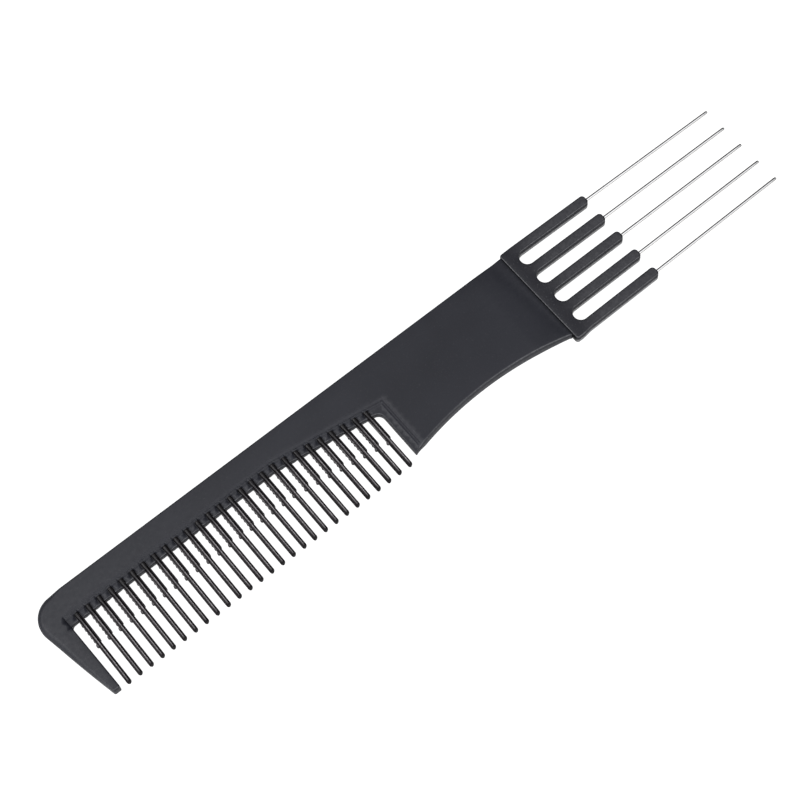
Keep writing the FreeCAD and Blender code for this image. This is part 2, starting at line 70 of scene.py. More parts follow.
HEAD_X = body_low.x
COLLAR_X = body_high.x
FINGER_END_X = holder_high.x
PIN_END_X = pin_high.x
BACK_Y = body_high.y
TIP_Y = body_low.y
MIDDLE_Z = (body_low.z + body_high.z) / 2
HALF_THICK = (body_high.z - body_low.z) / 2

TOOTH_COUNT = 27
LEVEL_TEETH = 18            # the root line starts to fall after these
PITCH = 3.11
FIRST_TOOTH_X = HEAD_X + 8.62
GUARD_INNER_X = FIRST_TOOTH_X - 2.7
BEND_X = FIRST_TOOTH_X + LEVEL_TEETH * PITCH
GAP_X = FIRST_TOOTH_X + (TOOTH_COUNT - 1) * PITCH + 2.72
ROOT_START_Y, ROOT_BEND_Y, ROOT_END_Y = 4.75, 5.1, 1.02
SHOULDER_Y = -12.5
WAIST_END_Y = -12.8
print(f"comb body {COLLAR_X - HEAD_X:.2f} mm long, {2 * HALF_THICK:.2f} mm thick")

# %% [markdown]
# ## Outlines
#
# Both mouldings are flat plates with soft edges, so each starts as a closed outline seen from
# above. A corner is a place with a radius, and the arc that rounds it is worked out from its two
# neighbours. Long straight runs get points along them too, because the edge has to follow the face
# where the face rises or falls.

# %% Outline helpers
ARC_STEP = 0.2               # length of each side of an arc


def corner_arc(before, at, after, radius):
    """Points of the arc that rounds a corner between its two neighbours."""
    if radius == 0:
        return [at]
    back, forth = before - at, after - at
    half = back.angle(forth) / 2
    reach = radius / math.tan(half)
    start = at + back.normalized() * reach
    end = at + forth.normalized() * reach
    middle = (back.normalized() + forth.normalized()).normalized()
    centre = at + middle * radius / math.sin(half)
    first = start - centre
    turn = first.angle_signed(end - centre)
    steps = max(4, math.ceil(abs(turn) * radius / ARC_STEP))
    return [centre + Matrix.Rotation(-turn * step / steps, 2) @ first for step in range(steps + 1)]


def rounded_outline(corners, spacing=0.8):
    """Closed outline from corners (x, y, radius, edge): points and the edge softness at each."""
    places = [Vector(corner[:2]) for corner in corners]
    points, edges = [], []
    for index, (_, _, radius, edge) in enumerate(corners):
        after = (index + 1) % len(corners)
        arc = corner_arc(places[index - 1], places[index], places[after], radius)
        points += arc
        edges += [edge] * len(arc)
    outline, softness = [], []
    for index, here in enumerate(points):
        after = (index + 1) % len(points)
        parts = max(1, round((points[after] - here).length / spacing))
        for part in range(parts):
            share = part / parts
            outline.append(here.lerp(points[after], share))
            softness.append(edges[index] + share * (edges[after] - edges[index]))
    return np.array([tuple(point) for point in outline]), np.array(softness)


def bowed(start, end, radius, edge, steps=60):
    """Corners along an arc that hollows the edge from start to end."""
    start, end = Vector(start), Vector(end)
    chord = end - start
    depth = radius - math.sqrt(radius ** 2 - (chord.length / 2) ** 2)
    normal = Vector((-chord.y, chord.x)).normalized()
    if normal.y < 0:
        normal = -normal
    centre = (start + end) / 2 + normal * (depth - radius)
    sweep = (start - centre).angle_signed(end - centre)
    return [(*(centre + Matrix.Rotation(-sweep * step / steps, 2) @ (start - centre)), 0, edge)
            for step in range(steps + 1)]


# %% [markdown]
# ## Soft-edged plates
#
# A bevel modifier rounds an edge by one radius everywhere. Here the rounding has to change along
# the edge, and the faces are not flat, so the plate is laid up by hand: a wall ring at the parting
# line, a few rings that turn the edge over, and then a triangulated face whose height is a
# function of place. The lower half is the upper half turned over, as it is in the mould.

# %% Measures of an outline
def inward(outline):
    """Inward normal at each point of a closed outline, and how much its corner narrows the edge."""
    before = outline - np.roll(outline, 1, axis=0)
    after = np.roll(outline, -1, axis=0) - outline
    before /= np.linalg.norm(before, axis=1, keepdims=True)
    after /= np.linalg.norm(after, axis=1, keepdims=True)
    normal = np.stack([-(before + after)[:, 1], (before + after)[:, 0]], axis=1)
    normal /= np.linalg.norm(normal, axis=1, keepdims=True)
    across = np.stack([-after[:, 1], after[:, 0]], axis=1)
    return normal, np.maximum((normal * across).sum(axis=1), 0.5)


def inset(outline, distance):
    """Moves each point of a closed outline inwards by its own distance."""
    normal, lean = inward(outline)
    return outline + normal * (np.asarray(distance) / lean)[:, None]


def counter_clockwise(outline):
    """Whether a closed outline goes round against the clock, seen from above."""
    x, y = outline[:, 0], outline[:, 1]
    return (x * np.roll(y, -1) - np.roll(x, -1) * y).sum() > 0


def distance_to(outline, places):
    """Shortest distance from each place to a closed outline."""
    found = np.full(len(places), np.inf)
    for start, end in zip(outline, np.roll(outline, -1, axis=0)):
        along = end - start
        share = np.clip((places - start) @ along / (along @ along), 0, 1)
        found = np.minimum(found, np.linalg.norm(places - start - share[:, None] * along, axis=1))
    return found


def is_inside(outline, places):
    """Whether each place lies inside a closed outline."""
    inside = np.zeros(len(places), bool)
    for (x0, y0), (x1, y1) in zip(outline, np.roll(outline, -1, axis=0)):
        crosses = (y0 > places[:, 1]) != (y1 > places[:, 1])
        with np.errstate(divide="ignore", invalid="ignore"):
            meets = (x1 - x0) * (places[:, 1] - y0) / (y1 - y0) + x0
        inside ^= crosses & (places[:, 0] < meets)
    return inside


# %% [markdown]
# The wall and the turned edge are rings of equal length, one above the other. Each point also
# learns how much rubbing and painted highlight it takes. Edges and walls that face the light are
# painted lighter, as painted highlight and painted reflection, over a little wear on every edge,
# and the plastic shows it later.

# %% Wall and turned edge
EDGE = 0.45                  # how far a usual edge is turned over
TURN_STEPS = 5               # rings that turn an edge over
DEEPEST_TURN = 0.9           # share of the half thickness that an edge may use up
RIM_FLAT = 0.12              # narrow flat ring that keeps the face's shading flat
RIDGE_RISE = 1.5             # a parting ridge is this many times higher than it stands out
RIDGE_TOP_HIGHLIGHT = 0.3         # share of the wall's painted highlight on top of the parting ridge
LIT_SIDE = np.array([-0.5, -0.86])   # edges that look this way, towards the light, take the most painted highlight
EVERY_EDGE_WEAR_AND_HIGHLIGHT, LIT_SIDE_HIGHLIGHT = 0.2, 0.8     # wear and painted highlight of every edge, and the painted highlight that facing the light adds


def edge_rings(outline, softness, height, rubbed_and_lit, seam, wall_highlight):
    """Rings from the parting line to the face's rim, and how much rubbing and painted highlight
    each takes on the upper and on the lower half."""
    rim_height = height(inset(outline, softness + seam))
    drop = np.minimum(softness, DEEPEST_TURN * rim_height)
    # Painted highlight: edges and walls that face the light are painted lighter than the rest.
    facing = np.clip(EVERY_EDGE_WEAR_AND_HIGHLIGHT - LIT_SIDE_HIGHLIGHT * inward(outline)[0] @ LIT_SIDE, 0, 1)
    wall = wall_highlight * facing
    rings = [np.column_stack([outline, np.zeros(len(outline))])]
    worn_and_lit, low_worn_and_lit = [wall], [wall]
    if seam:
        outline = inset(outline, seam)
        rings.append(np.column_stack([outline, np.full(len(outline), RIDGE_RISE * seam)]))
        worn_and_lit.append(RIDGE_TOP_HIGHLIGHT * wall)
        low_worn_and_lit.append(wall)
    for step in range(TURN_STEPS + 1):
        angle = step / TURN_STEPS * math.pi / 2
        flat = inset(outline, softness * (1 - math.cos(angle)))
        rings.append(np.column_stack([flat, rim_height - drop * (1 - math.sin(angle))]))
        edge_wear_and_highlight = math.sin(2 * angle) ** 2 * facing * np.minimum(1, EDGE / softness)
        worn_and_lit.append(edge_wear_and_highlight)
        low_worn_and_lit.append(edge_wear_and_highlight if step else wall)
    inner = inset(outline, softness + np.minimum(RIM_FLAT, softness / 4))
    rings.append(np.column_stack([inner, height(inner)]))
    return rings, worn_and_lit + [rubbed_and_lit(inner)], low_worn_and_lit + [rubbed_and_lit(inner)]


def band_faces(ring_count, count):
    """Quads between neighbouring rings of `count` points each."""
    faces = []
    for base in range(0, (ring_count - 1) * count, count):
        for index in range(base, base + count):
            after = base + (index + 1 - base) % count
            faces.append((index, after, after + count, index + count))
    return faces


# %% [markdown]
# Points on a staggered grid fill the face, and a constrained triangulation joins them to the rim,
# so the triangles stay even and the rim stays whole.

# %% Fill the face
RIM_CLEAR = 0.15             # points nearer to the rim than this are left out
GRID_ROW = 0.866             # height of a triangle with even sides
BY_TRIANGLES, NEARLY_ONE = 1, 1e-6      # what the triangulation keeps, and which points it merges


def grid_places(low, high, spacing):
    """Staggered grid of places that fills a rectangle."""
    rows = []
    for row, y in enumerate(np.arange(low[1], high[1], spacing * GRID_ROW)):
        x = np.arange(low[0] + (row % 2) * spacing / 2, high[0], spacing)
        rows.append(np.stack([x, np.full_like(x, y)], axis=1))
    return np.concatenate(rows)


def fill_face(inner, extra, spacing, first):
    """Places that fill the face inside its rim, and triangles over rim and filling. The rim's
    points are numbered from `first`, and the new places follow them."""
    count = len(inner)
    filling = np.concatenate([grid_places(inner.min(axis=0), inner.max(axis=0), spacing), *extra])
    filling = filling[is_inside(inner, filling)]
    filling = filling[distance_to(inner, filling) > RIM_CLEAR]
    flat = [Vector(place) for place in np.concatenate([inner, filling])]
    loop = [(index, (index + 1) % count) for index in range(count)]
    made, _, triangles, origin, _, _ = delaunay_2d_cdt(flat, loop, [], BY_TRIANGLES, NEARLY_ONE)
    number, added = {}, []
    for index, source in enumerate(origin):
        known = [item for item in source if item < count]
        if known:
            number[index] = first + known[0]
        else:
            number[index] = first + count + len(added)
            added.append(tuple(made[index]))
    return np.array(added), [tuple(number[corner] for corner in face) for face in triangles]


# %% [markdown]
# The plate's upper half is the rings and the filled face together. The caller gives functions of
# place for the height, the rubbing with its painted sheen, and the painted shade, so one routine
# serves both mouldings.

# %% Lay up a plate
def nowhere(places):
    """Stands for a plate with nothing to show: 0 at every place."""
    return np.zeros(len(places))


def plate_mesh(name, outline, softness, height, extra=(), spacing=1.2, seam=0.0, rubbed_and_lit=nowhere,
               painted_shade=nowhere, wall_highlight=0.0):
    """Closed plate with soft edges. `height` gives the half thickness at an array of places, and
    two more functions give how much rubbing with painted sheen and how much painted shade the face
    takes there. `seam` is how far a ridge stands out at the parting line, and the wall's share sets
    how much painted highlight and painted reflection the wall takes below it."""
    if not counter_clockwise(outline):
        outline, softness = outline[::-1], softness[::-1]
    rings, worn_and_lit, low_worn_and_lit = edge_rings(outline, softness, height, rubbed_and_lit, seam, wall_highlight)
    count = len(outline)
    added, triangles = fill_face(rings[-1][:, :2], extra, spacing, (len(rings) - 1) * count)
    places = np.concatenate([*rings, np.column_stack([added, height(added)])])
    worn_and_lit, low_worn_and_lit = (np.concatenate([*part, rubbed_and_lit(added)]) for part in (worn_and_lit, low_worn_and_lit))
    faces = band_faces(len(rings), count) + triangles
    return mirrored_mesh(name, places, faces, worn_and_lit, low_worn_and_lit, painted_shade(places[:, :2]), count)


# %% [markdown]
# The lower half is the upper half turned over. Both halves share the ring at the parting line, so
# the skin has no gap there. The finished mesh is shaded smooth and carries the rubbing, painted
# highlight and painted shade as attributes.

# %% Turn it over and make the object
def mirrored_mesh(name, places, faces, worn_and_lit, low_worn_and_lit, painted_shade, shared):
    """Adds the lower half. The first `shared` points lie in the middle plane and stay single."""
    low = places[shared:] * (1, 1, -1)
    turned = np.arange(len(places))
    turned[shared:] += len(places) - shared
    faces = faces + [tuple(int(turned[corner]) for corner in reversed(face)) for face in faces]
    return make_object(name, np.concatenate([places, low]), faces,
                       np.concatenate([worn_and_lit, low_worn_and_lit[shared:]]),
                       np.concatenate([painted_shade, painted_shade[shared:]]))


def make_object(name, places, faces, worn_and_lit, painted_shade=None):
    """Smooth-shaded object in metres. The rubbing and painted highlight of each point, and its
    painted shade, go in as attributes.
    """
    mesh = bpy.data.meshes.new(name)
    places = (places + (0, 0, MIDDLE_Z)) * MM
    mesh.from_pydata([tuple(place) for place in places], [], faces)
    mesh.update()
    painted_shade = np.zeros(len(places)) if painted_shade is None else painted_shade
    for label, values in (("worn_and_lit", worn_and_lit), ("painted_shade", painted_shade)):
        attribute = mesh.attributes.new(label, "FLOAT", "POINT")
        attribute.data.foreach_set("value", values.astype(np.float32))
    mesh.polygons.foreach_set("use_smooth", [True] * len(mesh.polygons))
    piece = bpy.data.objects.new(name, mesh)
    bpy.context.scene.collection.objects.link(piece)
    print(f"{name}: {len(mesh.vertices)} points, {len(mesh.polygons)} faces")
    return piece


# %% [markdown]
# ## Comb plate
#
# The spine, the guard tooth and the grip are one plate. Its face has four features that catch the
# light. It steps down to a narrow ledge that runs round the toothed opening, then down again to a
# web that thins towards the gaps between the teeth. A narrow trench runs up each side of every
# rib. Near the holder the grip thins too, so that the two mouldings meet almost flush. They are
# one height function, so they blend without booleans.

# %% Height of the comb plate's face
WEB_HALF = 0.95
RIB_HALF = 1.35
NECK_HALF = 1.2
NECK_LENGTH = 9.0
# Half thickness against distance outside the opening: web, step, ledge, step, face.
GROOVE = ((0.0, WEB_HALF), (1.45, 1.0), (1.55, 1.08), (1.85, 1.41), (1.95, 1.44), (2.3, 1.33),
          (2.45, 1.37), (2.75, 1.62), (2.85, HALF_THICK))
GUARD_BEVEL = 0.3            # width of the step at the guard tooth's inner side
GUARD_LEAN = 0.45            # how far that side leans in from root to tip
TRENCH_DEPTH = 0.35
TRENCH_PROFILE = (0.4, 0.5, 0.7, 0.95)  # from the rib's middle: lip, bottom, bottom, lip
TRENCH_START = 0.3           # the trench is at full depth from here up, above the root line
TRENCH_FADE, TRENCH_TOP = 1.75, 2.35    # it rises between these levels
TRENCH_NARROWS = 1.15        # it starts to close in on the rib at this level
TRENCH_END_WIDTH = 0.2       # share of its width that is left at the top
TRENCH_SHADE = 0.55          # how much painted shade a trench takes
JOINT_SHADE = (0.05, 0.25)   # painted shade at the joint with the holder, from here to here
NECK_CURVE = 1.3             # more than 1 makes the thinning start gently
FACE_FROM = WEB_HALF + 0.4   # half thickness above which a place counts as the face
SOFT_WIDTH = 3.0             # the face falls away very slightly this far in from the outer edge
SOFT_DROP = 0.1


def root_level(x):
    """Level of the root line between the teeth."""
    return np.interp(x, [GUARD_INNER_X, BEND_X, GAP_X], [ROOT_START_Y, ROOT_BEND_Y, ROOT_END_Y])


def root_slope_level(x):
    """The same line, carried on past the ends of the opening."""
    fall = (ROOT_END_Y - ROOT_BEND_Y) / (GAP_X - BEND_X)
    rise = (ROOT_BEND_Y - ROOT_START_Y) / (BEND_X - GUARD_INNER_X)
    return ROOT_BEND_Y + np.where(x > BEND_X, fall, rise) * (x - BEND_X)


def guard_inner_x(y):
    """Inner side of the guard tooth, which leans in slightly towards its tip."""
    share = (ROOT_START_Y - y) / (ROOT_START_Y - TIP_Y)
    return GUARD_INNER_X + GUARD_LEAN * share


def opening_depth(places):
    """How far each place lies outside the toothed opening, on the side where it lies furthest."""
    x, y = places[:, 0], places[:, 1]
    past_end = x - GAP_X
    above_root = y - root_slope_level(x)
    past_guard = (guard_inner_x(y) - x) * GROOVE[-1][0] / GUARD_BEVEL
    return np.maximum(np.maximum(past_end, above_root), past_guard)


def trench_share(places):
    """1 in the trenches beside the ribs, 0 on the open web and on the face."""
    index = np.clip(np.round((places[:, 0] - FIRST_TOOTH_X) / PITCH), 0, TOOTH_COUNT - 1)
    offset = np.abs(places[:, 0] - FIRST_TOOTH_X - index * PITCH)
    above_root = places[:, 1] - root_level(places[:, 0])
    taper = np.interp(above_root, [TRENCH_NARROWS, TRENCH_TOP], [1, TRENCH_END_WIDTH])
    rib_side = TRENCH_PROFILE[1]
    beside = np.interp((offset - rib_side) / taper + rib_side, TRENCH_PROFILE, [0, 1, 1, 0])
    return beside * np.interp(above_root, [0, TRENCH_START, TRENCH_FADE, TRENCH_TOP], [0, 1, 1, 0])


def body_painted_shade(places):
    """Painted shade on the plate: in the trenches, and at the joint with the holder."""
    joint = np.interp(COLLAR_X - places[:, 0], JOINT_SHADE, [1, 0])
    return np.maximum(TRENCH_SHADE * trench_share(places), joint)


def body_height(places):
    """Half thickness of the plate: the lower of the stepped face and the thinning neck."""
    depth, level = np.array(GROOVE).T
    groove = np.interp(opening_depth(places), depth, level) - TRENCH_DEPTH * trench_share(places)
    share = np.clip((places[:, 0] - COLLAR_X + NECK_LENGTH) / NECK_LENGTH, 0, 1)
    neck = HALF_THICK - (HALF_THICK - NECK_HALF) * share ** NECK_CURVE
    soft = SOFT_DROP * np.clip(1 - distance_to(BODY_RIM, places) / SOFT_WIDTH, 0, 1) ** 2
    return np.minimum(groove, neck) - soft * (groove > FACE_FROM)


# %% [markdown]
# The outline goes round by its corners: along the back, over the head, down the guard tooth's
# outer side, up into the toothed opening and out again, and along the waist. The guard tooth's
# outer side swells a little, and its edge is rounder near the head, where the hand holds it.

# %% Outline of the comb plate
GUARD_EDGE = 1.3
WEB_EDGE = 0.3
SHARP_EDGE = 0.15            # hardly turned: the shoulder, and the end at the holder
GUARD_TIP_Y = TIP_Y + 0.23
GUARD_TIP_GAP = 2.25         # guard tooth's tip to the first tooth's axis
WAIST_RADIUS = 91.3

HEAD_RADIUS = 6.1
HEAD_SPARE = 0.07            # keeps the swollen side within the comb's length
GUARD_TIP_WIDTH = 1.85
GUARD_BOW = 0.17             # the guard tooth's outer side swells by this much
GUARD_BOW_SPAN = 0.72        # share of the side that swells
GUARD_SIDE_EDGES = ((0.6, 1.3), (0.48, 1.15), (0.36, 0.95), (0.24, 0.75), (0.12, 0.55))

guard_tip_x = FIRST_TOOTH_X - GUARD_TIP_GAP
guard_foot = Vector((guard_tip_x - GUARD_TIP_WIDTH, GUARD_TIP_Y))


def head_corner():
    """Where the back would meet the guard tooth's outer side if the head were not rounded."""
    reach = Vector((HEAD_X + HEAD_RADIUS + HEAD_SPARE, BACK_Y - HEAD_RADIUS)) - guard_foot
    lean = math.atan2(reach.x, reach.y) - math.asin(HEAD_RADIUS / reach.length)
    return guard_foot + Vector((math.tan(lean), 1)) * (BACK_Y - guard_foot.y)


def guard_side(share):
    """Point up the guard tooth's outer side, swollen in the middle."""
    along = head_corner() - guard_foot
    outward = Vector((-along.y, along.x)).normalized()
    rise = min(share / GUARD_BOW_SPAN, 1)
    return guard_foot + along * share + outward * GUARD_BOW * 4 * rise * (1 - rise)


outer_corners = [
    (COLLAR_X, BACK_Y, 0.2, SHARP_EDGE),
    (COLLAR_X - 3, BACK_Y, 0, EDGE),
    (HEAD_X + 9, BACK_Y, 0, EDGE),
    (*head_corner(), HEAD_RADIUS, GUARD_EDGE),
    *[(*guard_side(share), 0, edge) for share, edge in GUARD_SIDE_EDGES],
    (*guard_foot, 0.45, 0.33),
]
opening_corners = [
    (guard_tip_x, GUARD_TIP_Y, 0.4, WEB_EDGE),
    (GUARD_INNER_X, ROOT_START_Y, 1.0, WEB_EDGE),
    (BEND_X, ROOT_BEND_Y, 0, WEB_EDGE),
    (GAP_X, ROOT_END_Y, 1.9, WEB_EDGE),
    (GAP_X, SHOULDER_Y, 0.2, SHARP_EDGE),
]
waist = bowed((GAP_X, SHOULDER_Y), (COLLAR_X, WAIST_END_Y), WAIST_RADIUS, EDGE)[1:-1]
end_corners = [(COLLAR_X, WAIST_END_Y, 0.15, 0.11)]

plate_outline, plate_softness = rounded_outline(
    outer_corners + opening_corners + waist + end_corners)
BODY_RIM = np.array([corner[:2] for corner in outer_corners[1:] + waist])
print(f"plate outline: {len(plate_outline)} points")

# %% [markdown]
# Triangles only show a step if their corners lie on it. So rows of points are laid along every
# line where the face bends: round the opening, up the guard tooth's step, and beside each rib.

# %% Points where the face bends
def along_opening(depth, spacing=0.3):
    """Row of places that runs round the opening at a distance outside it."""
    corner_x = GAP_X + depth
    corner_y = float(root_slope_level(np.array(corner_x))) + depth
    level = np.arange(GUARD_INNER_X - 0.1, corner_x, spacing)
    upper = np.column_stack([level, root_slope_level(level) + depth])
    down = np.arange(SHOULDER_Y, corner_y, spacing)
    return np.concatenate([upper, np.column_stack([np.full_like(down, corner_x), down])])


def up_guard(share, spacing=0.25):
    """Row of places up the step at the guard end of the web."""
    level = np.arange(ROOT_START_Y, ROOT_START_Y + GROOVE[-1][0] + 0.2, spacing)
    return np.column_stack([guard_inner_x(level) - share * GUARD_BEVEL, level])


def beside_rib(index, offset, spacing=0.3):
    """Row of places up a trench, at an offset from the middle of a tooth."""
    x = FIRST_TOOTH_X + index * PITCH + offset
    level = float(root_level(x)) + np.arange(0.1, TRENCH_TOP + spacing, spacing)
    return np.column_stack([np.full_like(level, x), level])


groove_rows = [along_opening(depth) for depth, _ in GROOVE[1:]]
guard_rows = [up_guard(share) for share in (-0.1, 0.5, 1)]
trench_rows = [beside_rib(index, side * offset) for index in range(TOOTH_COUNT) for side in (-1, 1)
               for offset in (TRENCH_PROFILE[0], *TRENCH_PROFILE[2:])]
neck_rows = [np.column_stack([np.full(40, x), np.linspace(WAIST_END_Y + 1, BACK_Y - 1, 40)])
             for x in np.linspace(COLLAR_X - NECK_LENGTH, COLLAR_X - 1, 9)]
# Painted reflection: the plate's walls that face the light are painted a little lighter.
comb_plate = plate_mesh("comb_plate", plate_outline, plate_softness, body_height,
                        extra=groove_rows + guard_rows + trench_rows + neck_rows,
                        painted_shade=body_painted_shade, wall_highlight=0.2)

# %% [markdown]
# ## Teeth
#
# Each tooth is a slim bar with a ridge on both faces, so that hair slides off it to either side.
# Its section is a rounded diamond, and the bar is lofted from rings of that section: it starts
# inside the spine, where it shows as a rib over the sloping web, and rounds off at the tip. All
# the teeth are alike, so one loft is written and repeated at the pitch.

# %% Tooth loft
TOOTH_HALF_WIDTH = 0.6
TIP_ROUND = 0.42
TIP_BLUNT = 0.6              # less than 1 makes the tip blunter than a half circle
TIP_RINGS, SHANK_RINGS = 7, 24
SECTION_POINTS = 20
SECTION_POWER = 1.08         # 1 is an ellipse, 2 is a diamond
RIB_POWER = 0.45             # the rib above the root has a flatter top and steeper sides
RIB_TOP = 2.3                # the rib ends this far above the root line
TIP_RISE = 0.36              # the last tooth ends this much higher than the first
LIT_FLANK_HIGHLIGHT = 0.6              # painted highlight on the side towards the guard tooth, which faces the light


def section(width, thick, power=SECTION_POWER):
    """Rounded diamond across a tooth: x and z of each point."""
    angle = np.arange(SECTION_POINTS) * 2 * math.pi / SECTION_POINTS
    x = np.sign(np.cos(angle)) * np.abs(np.cos(angle)) ** power * width
    z = np.sign(np.sin(angle)) * np.abs(np.sin(angle)) ** power * thick
    return x, z


def tooth_rings(tip, top):
    """Levels up a tooth with the share of its width and thickness at each. The tip is blunt across
    and thins less than it narrows."""
    levels = []
    for step in range(TIP_RINGS):
        angle = math.radians(15 + 75 * step / (TIP_RINGS - 1))
        share = math.sin(angle) ** TIP_BLUNT
        levels.append((tip + TIP_ROUND * (1 - math.cos(angle)), share, 0.4 + 0.6 * share))
    shank = np.linspace(tip + TIP_ROUND + 0.4, top, SHANK_RINGS)
    return levels + [(level, 1, 1) for level in shank]


def loft(rings):
    """Closed skin over rings of equal length, each an array of places."""
    count = len(rings[0])
    last = (len(rings) - 1) * count
    sides = [(low, high, high_after, low_after)
             for low, low_after, high_after, high in band_faces(len(rings), count)]
    ends = [tuple(range(count)), tuple(reversed(range(last, last + count)))]
    return np.concatenate(rings), [ends[0], *sides, ends[1]]


def tooth_wear_and_highlight(across, height):
    """Rubbing and painted highlight round a tooth's section: most on the ridge, and a painted
    highlight on the side towards the light.
    """
    ridge = np.clip(height * 20 - 19, 0, 1)
    lit_flank = LIT_FLANK_HIGHLIGHT * (across < 0) * np.clip(height * 4 - 2.7, 0, 1)
    return np.maximum(ridge, lit_flank)


def tooth(index):
    """One tooth: places, faces, and how much rubbing and painted highlight each point takes."""
    x = FIRST_TOOTH_X + index * PITCH
    tip = TIP_Y + TIP_RISE * index / (TOOTH_COUNT - 1)
    rings, worn_and_lit = [], []
    root = float(root_level(x))
    for level, width, thick in tooth_rings(tip, root + RIB_TOP):
        power = np.interp(level, [root - 0.6, root + 0.4], [SECTION_POWER, RIB_POWER])
        across, up = section(TOOTH_HALF_WIDTH * width, RIB_HALF * thick, power)
        rings.append(np.column_stack([x + across, np.full(SECTION_POINTS, level), up]))
        # Painted highlight along the ridge, fading near the tip and at the root.
        worn_and_lit.append(np.interp(level, [tip, tip + 1.5, root - 3, root], [0.3, 1, 1, 0.1])
                    * tooth_wear_and_highlight(across, np.abs(up / RIB_HALF)))
    places, faces = loft(rings)
    return places, faces, np.concatenate(worn_and_lit)


# %% [markdown]
# ## Gripping blades
#
# The upper half of each tooth carries a thin blade that holds the hair: smooth on one side, with a
# row of small nubs on the other, and a round bead where it ends. The blade is flat, so it is an
# outline with a slightly softened edge. The nubs are arcs in that outline.

# %% Blade outline
BLADE_HALF = 0.65
BLADE_RIGHT, BLADE_LEFT = 0.82, 0.62
BLADE_LENGTH = 6.85
BLADE_EDGE = 0.14
CORNER_RADIUS = 0.2          # at the blade's lower corners
TUCK = 0.6                   # the blade starts this far above the root line, inside the web
NUB_COUNT, NUB_PITCH, NUB_RADIUS, NUB_OFFSET = 5, 1.18, 0.3, 0.47
BEAD_RADIUS, BEAD_OFFSET, BEAD_DEPTH, BEAD_GAP = 0.43, 0.53, 7.45, 1.34
BEAD_EDGE = 0.2


def arc_points(centre_x, centre_y, radius, start, end, steps):
    """Points along an arc between two angles in degrees."""
    angle = np.radians(np.linspace(start, end, steps))
    return np.column_stack([centre_x + radius * np.cos(angle), centre_y + radius * np.sin(angle)])


def blade_outline(nubs):
    """Blade round one tooth, from its lower end up: x from the tooth's axis, y from the root."""
    spread = math.degrees(math.acos((BLADE_LEFT - NUB_OFFSET) / NUB_RADIUS))
    corner_y = CORNER_RADIUS - BLADE_LENGTH
    runs = [arc_points(BLADE_RIGHT - CORNER_RADIUS, corner_y, CORNER_RADIUS, -90, 0, 4),
            np.array([(BLADE_RIGHT, -BLADE_LENGTH / 2), (BLADE_RIGHT, TUCK), (-BLADE_LEFT, TUCK)])]
    for index in reversed(range(nubs)):
        centre = BEAD_GAP - BEAD_DEPTH + index * NUB_PITCH
        runs.append(arc_points(-NUB_OFFSET, centre, NUB_RADIUS, 180 - spread, 180 + spread, 7))
    runs.append(np.array([(-BLADE_LEFT, 0.3 - BLADE_LENGTH)]))
    runs.append(arc_points(CORNER_RADIUS - BLADE_LEFT, corner_y, CORNER_RADIUS, 180, 270, 4))
    return np.concatenate(runs)


def soft_slab(outline, half, edge):
    """Closed slab with softened edges: rings from the lower face to the upper."""
    # Rubbing and painted highlight: the turned edges are painted lighter, most where they lean
    # halfway.
    turns = [(edge * (1 - math.cos(angle)), half - edge * (1 - math.sin(angle)),
              math.sin(2 * angle))
             for angle in (math.pi / 2, math.pi / 3, math.pi / 6, 0)]
    levels = [(depth, -level, wear_and_sheen) for depth, level, wear_and_sheen in turns]
    levels += [(depth, level, wear_and_sheen) for depth, level, wear_and_sheen in reversed(turns)]
    rings = [np.column_stack([inset(outline, depth), np.full(len(outline), level)])
             for depth, level, _ in levels]
    places, faces = loft(rings)
    worn_and_lit = np.repeat([wear_and_sheen for _, _, wear_and_sheen in levels], len(outline))
    return places, [face[::-1] for face in faces], worn_and_lit


def blade(index):
    """Blade and bead of one tooth. The last tooth's blade has no nubs."""
    x = FIRST_TOOTH_X + index * PITCH
    root = float(root_level(x))
    nubs = 0 if index == TOOTH_COUNT - 1 else NUB_COUNT
    bead = arc_points(-BEAD_OFFSET, -BEAD_DEPTH, BEAD_RADIUS, 0, 345, 24)
    slabs = (soft_slab(blade_outline(nubs), BLADE_HALF, BLADE_EDGE),
             soft_slab(bead, BLADE_HALF, BEAD_EDGE))
    # Painted highlight: the blade's side towards the light is painted a little lighter.
    return [(places + (x, root, 0), faces, np.maximum(worn_and_lit, LIT_FLANK_HIGHLIGHT / 3 * (places[:, 0] < 0)))
            for places, faces, worn_and_lit in slabs]


# %% [markdown]
# The teeth and the blades go in as two pieces with many shells. Each rib is painted darker and
# duller where it lies on the web, as painted shade, and the painted shade fades out down the free
# tooth.

# %% Join the teeth into one piece
def rib_painted_shade(places):
    """Painted shade on the ribs where they lie on the web, fading out down the free tooth."""
    return np.interp(places[:, 1] - root_level(places[:, 0]), [-2, 0], [0, 0.5])


def joined(name, parts, painted_shade=nowhere):
    """One object from many closed shells."""
    places, faces, worn_and_lit, shift = [], [], [], 0
    for part_places, part_faces, part_worn_and_lit in parts:
        places.append(part_places)
        worn_and_lit.append(part_worn_and_lit)
        faces += [tuple(corner + shift for corner in face) for face in part_faces]
        shift += len(part_places)
    places = np.concatenate(places)
    return make_object(name, places, faces, np.concatenate(worn_and_lit), painted_shade(places))


teeth = joined("comb_teeth", [tooth(index) for index in range(TOOTH_COUNT)], rib_painted_shade)
blades = joined("tooth_blades", [part for index in range(TOOTH_COUNT) for part in blade(index)])

# %% [markdown]
# ## Pick holder
#
# The holder is a collar that steps out a little past the grip on both sides, and five fingers.
# They lean in towards the middle one by a third of a degree each, so their ends are worked out
# along each finger's own axis. It is the same kind of soft-edged plate as the comb.

